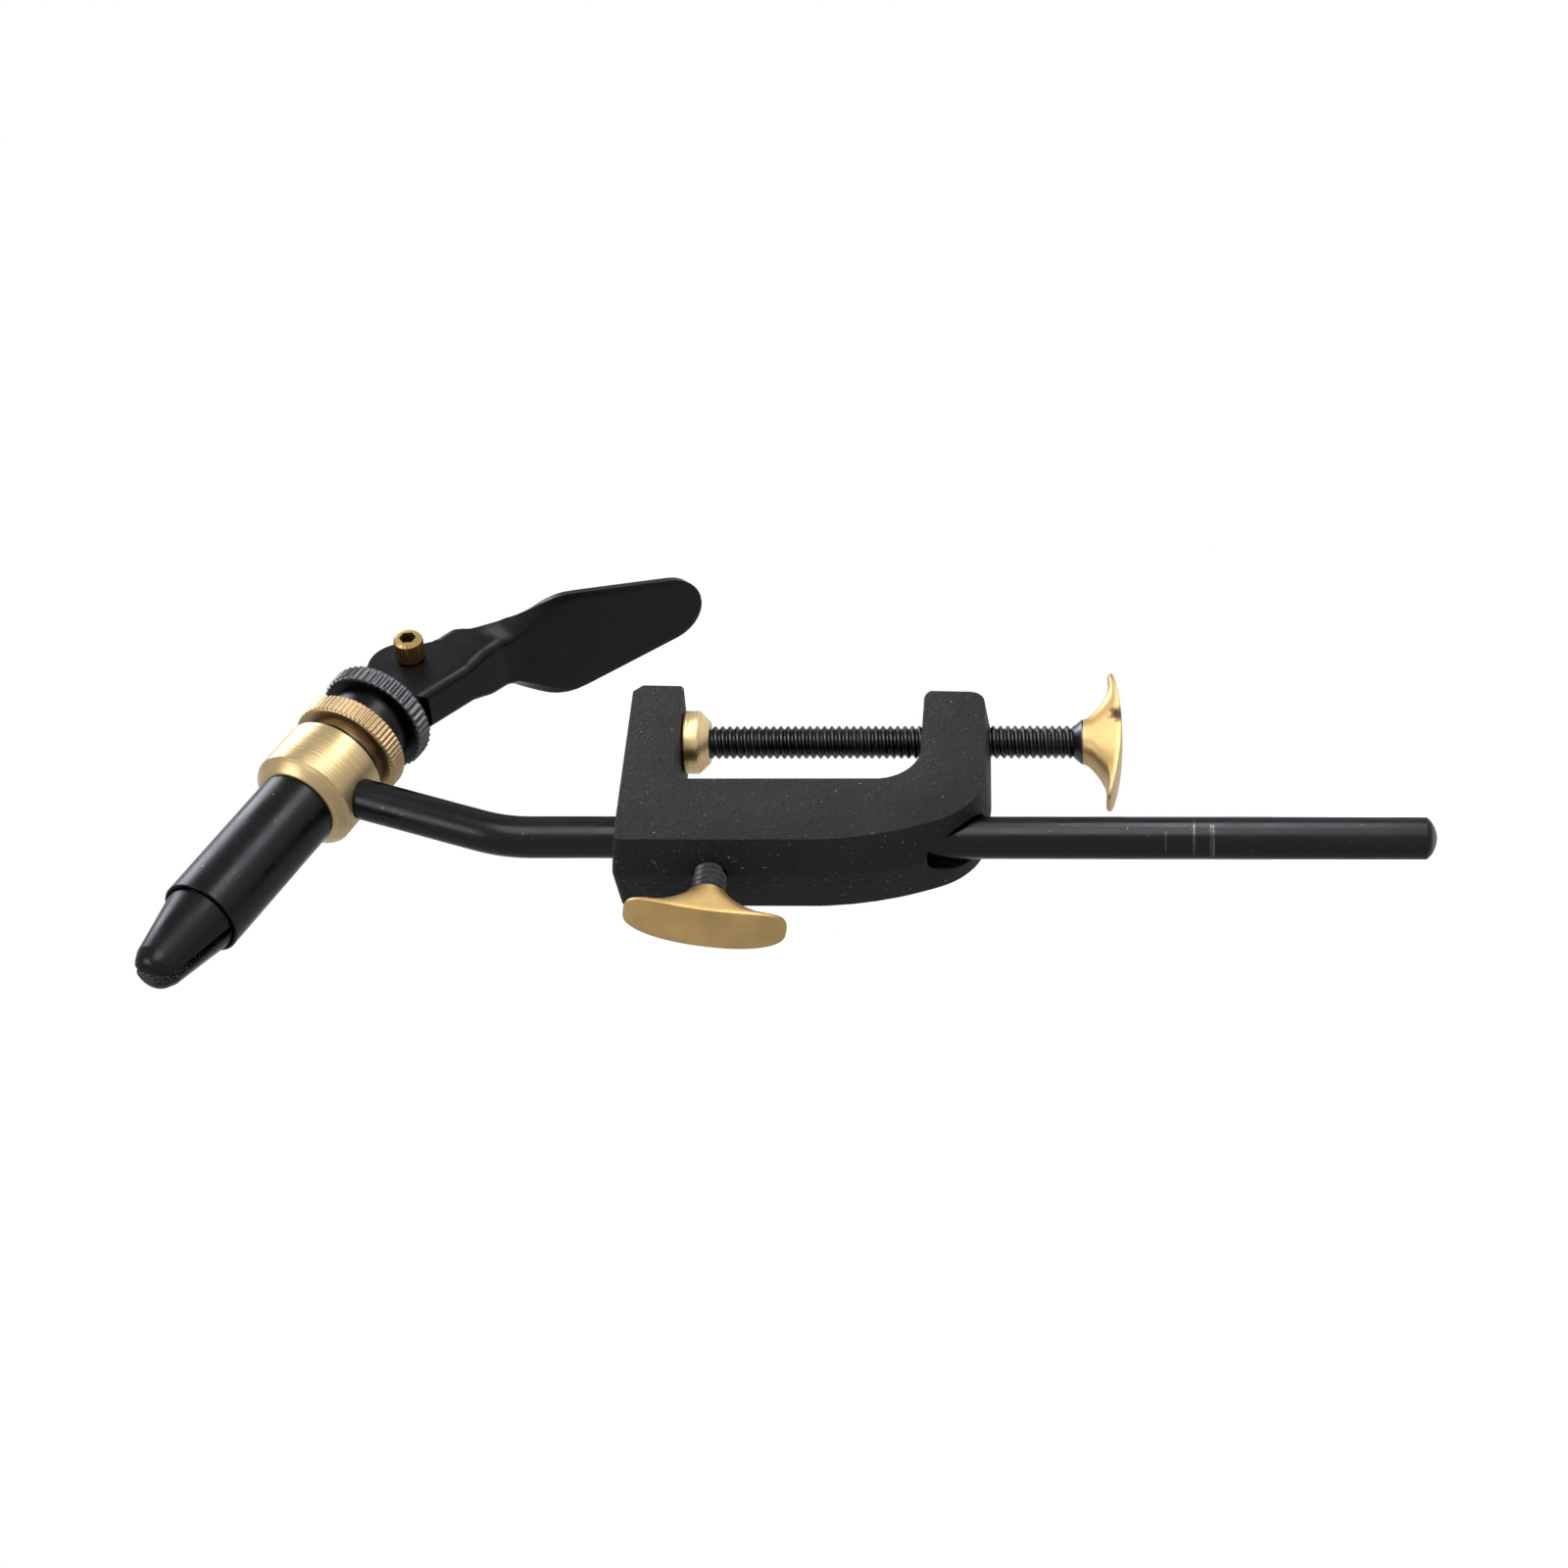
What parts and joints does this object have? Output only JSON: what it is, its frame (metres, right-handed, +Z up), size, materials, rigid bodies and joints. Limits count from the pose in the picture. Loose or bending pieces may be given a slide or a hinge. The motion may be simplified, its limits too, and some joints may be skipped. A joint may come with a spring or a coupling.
{
  "type": "fly tying vise",
  "caption": "Table-clamped fly tying vise: a bent stem carries a tilted collet head whose hook jaws are drawn shut by a cam lever.",
  "frame": {"origin": "on the bearing face of the clamp's fixed jaw, where the clamp screw's axis meets it, so z = 0 is the top of the table", "axes": "+Z up along the stem, +X into the clamp's throat over the table, +Y to the side of the head away from the brass pivot nut"},
  "size_m": [0.1105, 0.0246, 0.2384],
  "materials": {
    "casting": "matte charcoal coated sand casting",
    "black_steel": "turned steel with a satin black oxide",
    "brass": "turned and cast brass, slightly tarnished",
    "spring_steel": "plain spring wire"
  },
  "bodies": {
    "clamp": {"clamp_frame": "casting"},
    "pad": {"clamp_pad": "brass"},
    "screw": {"clamp_screw": "black_steel", "clamp_wing": "brass"},
    "thumb": {"thumb_screw": "black_steel", "thumb_wing": "brass"},
    "post": {"stem": "black_steel", "collar": "brass"},
    "head": {"barrel": "black_steel", "friction_washer": "black_steel", "return_spring": "spring_steel"},
    "ring": {"lock_ring": "brass"},
    "wheel": {"adjusting_wheel": "black_steel"},
    "collet": {"collet_base": "black_steel", "draw_rod": "black_steel", "pivot_screw": "black_steel", "pivot_nut": "brass"},
    "jaw_l": {"left_jaw": "black_steel"},
    "jaw_r": {"right_jaw": "black_steel"},
    "lever": {"lever": "black_steel"}
  },
  "joints": [
    {"name": "pad_travel", "type": "slide", "parent": "clamp", "child": "pad", "axis": [0, 0, -1], "range_m": [0, 0.038]},
    {"name": "clamp_screw_turn", "type": "hinge", "parent": "pad", "child": "screw", "pos_m": [0, 0, -0.04], "axis": [0, 0, -1], "range_deg": [0, 9700]},
    {"name": "thumb_screw_turn", "type": "hinge", "parent": "clamp", "child": "thumb", "pos_m": [-0.04, 0, -0.0082], "axis": [-1, 0, 0], "range_deg": [0, 720]},
    {"name": "stem_height", "type": "slide", "parent": "clamp", "child": "post", "axis": [0, 0, 1], "range_m": [-0.014, 0.11]},
    {"name": "head_rotation", "type": "hinge", "parent": "post", "child": "head", "pos_m": [-0.01268, 0, 0.07037], "axis": [-0.9178, 0, 0.3971], "continuous": true},
    {"name": "lock_ring_turn", "type": "hinge", "parent": "head", "child": "ring", "pos_m": [-0.00125, 0, 0.06542], "axis": [-0.9178, 0, 0.3971], "range_deg": [-180, 180]},
    {"name": "wheel_turn", "type": "hinge", "parent": "head", "child": "wheel", "pos_m": [0.00784, 0, 0.06149], "axis": [-0.9178, 0, 0.3971], "range_deg": [-360, 360]},
    {"name": "collet_draw", "type": "slide", "parent": "head", "child": "collet", "axis": [0.9178, 0, -0.3971], "range_m": [-0.00128, 0.00058]},
    {"name": "lever_pivot", "type": "hinge", "parent": "collet", "child": "lever", "pos_m": [0.02036, 0, 0.05607], "axis": [0, 1, 0], "range_deg": [-45, 20]},
    {"name": "left_jaw_flex", "type": "hinge", "parent": "collet", "child": "jaw_l", "pos_m": [-0.02369, -0.0042, 0.07513], "axis": [-0.3971, 0, -0.9178], "range_deg": [-0.42, 0.25]},
    {"name": "right_jaw_flex", "type": "hinge", "parent": "collet", "child": "jaw_r", "pos_m": [-0.02369, 0.0042, 0.07513], "axis": [0.3971, 0, 0.9178], "range_deg": [-0.42, 0.25]}
  ],
  "couplings": [
    {"joint": "clamp_screw_turn", "follows": "pad_travel", "rad_per_m": 4453},
    {"joint": "collet_draw", "follows": "lever_pivot", "m_per_rad": 0.0016},
    {"joint": "left_jaw_flex", "follows": "lever_pivot", "ratio": 0.0088},
    {"joint": "right_jaw_flex", "follows": "lever_pivot", "ratio": 0.0088}
  ]
}
